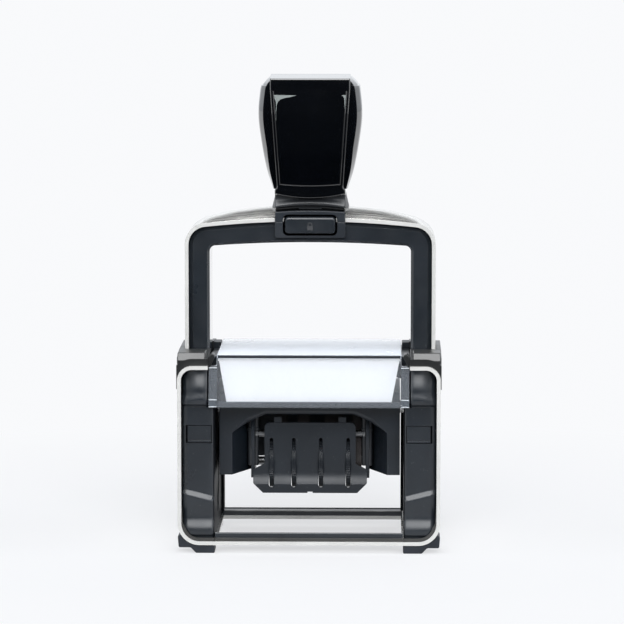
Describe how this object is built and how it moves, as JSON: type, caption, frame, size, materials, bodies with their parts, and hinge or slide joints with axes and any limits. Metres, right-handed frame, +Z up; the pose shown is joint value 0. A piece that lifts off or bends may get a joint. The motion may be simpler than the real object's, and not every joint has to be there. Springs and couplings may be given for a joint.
{
  "type": "self-inking date stamp",
  "caption": "Self-inking date stamp: steel base, sprung arch handle with a knob, and a die unit with setting wheels that turns over from the ink pad to the paper as the handle goes down.",
  "frame": {"origin": "middle of the footprint, on the table that the feet rest on", "axes": "+Z up along the handle's travel, -Y to the front with the index window, +X to the right of it"},
  "size_m": [0.0898, 0.062, 0.1615],
  "materials": {
    "polished_steel": "polished",
    "black_plastic": "satin",
    "gloss_black": "gloss",
    "grey_plastic": "satin",
    "dark_plastic": "satin",
    "foot_rubber": "matte",
    "clear_plastic": "clear",
    "card": "matte",
    "spring_steel": "drawn wire",
    "pin_steel": "ground",
    "print_rubber": "matte",
    "band_rubber": "matte",
    "ink_felt": "soaked felt"
  },
  "bodies": {
    "base": {"base_shell": "polished_steel", "post_cover_front_left": "black_plastic", "post_cover_front_right": "black_plastic", "post_cover_rear_left": "black_plastic", "post_cover_rear_right": "black_plastic", "post_liner_left": "black_plastic", "post_liner_right": "black_plastic", "snap_tab_left": "black_plastic", "snap_tab_right": "black_plastic", "collar_left": "grey_plastic", "collar_right": "grey_plastic", "front_bar": "black_plastic", "rear_bar": "black_plastic", "feet": "foot_rubber", "pad_housing": "black_plastic", "window_cover": "clear_plastic", "index_card": "card", "spring_left": "spring_steel", "spring_right": "spring_steel", "spring_seats": "black_plastic"},
    "cartridge": {"ink_tray": "black_plastic", "ink_pad": "ink_felt"},
    "handle": {"handle_band": "polished_steel", "handle_frame": "black_plastic", "lock_housing": "dark_plastic", "knob_body": "gloss_black", "knob_cheek_left": "gloss_black", "knob_cheek_right": "gloss_black", "label_panel": "gloss_black", "rear_panel": "gloss_black", "knob_screws": "pin_steel"},
    "lock_button": {"lock_button": "black_plastic"},
    "die": {"die_frame": "dark_plastic", "trunnion_left": "pin_steel", "trunnion_right": "pin_steel", "cam_pin_left": "pin_steel", "cam_pin_right": "pin_steel", "die_plate": "dark_plastic", "text_plate": "print_rubber", "date_side_plates": "dark_plastic", "band_cover": "dark_plastic", "band_bridge": "pin_steel", "wheel_axle": "pin_steel", "tie_rod": "pin_steel", "day_tens_band": "band_rubber", "day_units_band": "band_rubber", "month_band": "band_rubber", "year_band": "band_rubber"},
    "day_tens_dial": {"day_tens_wheel": "black_plastic"},
    "day_units_dial": {"day_units_wheel": "black_plastic"},
    "month_dial": {"month_wheel": "black_plastic"},
    "year_dial": {"year_wheel": "black_plastic"}
  },
  "joints": [
    {"name": "handle_press", "type": "slide", "parent": "base", "child": "handle", "axis": [0, 0, -1], "range_m": [0, 0.034], "stiffness_N_per_m": 400, "springref_m": -0.012, "deforming": ["spring_left", "spring_right"]},
    {"name": "die_flip", "type": "hinge", "parent": "handle", "child": "die", "pos_m": [0, 0, 0.0461], "axis": [-1, 0, 0], "range_deg": [0, 180]},
    {"name": "lock_push", "type": "slide", "parent": "handle", "child": "lock_button", "axis": [0, 1, 0], "range_m": [0, 0.002]},
    {"name": "cartridge_pull", "type": "slide", "parent": "base", "child": "cartridge", "axis": [0, 1, 0], "range_m": [0, 0.045]},
    {"name": "day_tens_turn", "type": "hinge", "parent": "die", "child": "day_tens_dial", "pos_m": [0, -0.004, 0.0278], "axis": [1, 0, 0], "continuous": true},
    {"name": "day_units_turn", "type": "hinge", "parent": "die", "child": "day_units_dial", "pos_m": [0, -0.004, 0.0278], "axis": [1, 0, 0], "continuous": true},
    {"name": "month_turn", "type": "hinge", "parent": "die", "child": "month_dial", "pos_m": [0, -0.004, 0.0278], "axis": [1, 0, 0], "continuous": true},
    {"name": "year_turn", "type": "hinge", "parent": "die", "child": "year_dial", "pos_m": [0, -0.004, 0.0278], "axis": [1, 0, 0], "continuous": true}
  ],
  "couplings": [
    {"joint": "die_flip", "follows": "handle_press", "rad_per_m": 92.4}
  ]
}
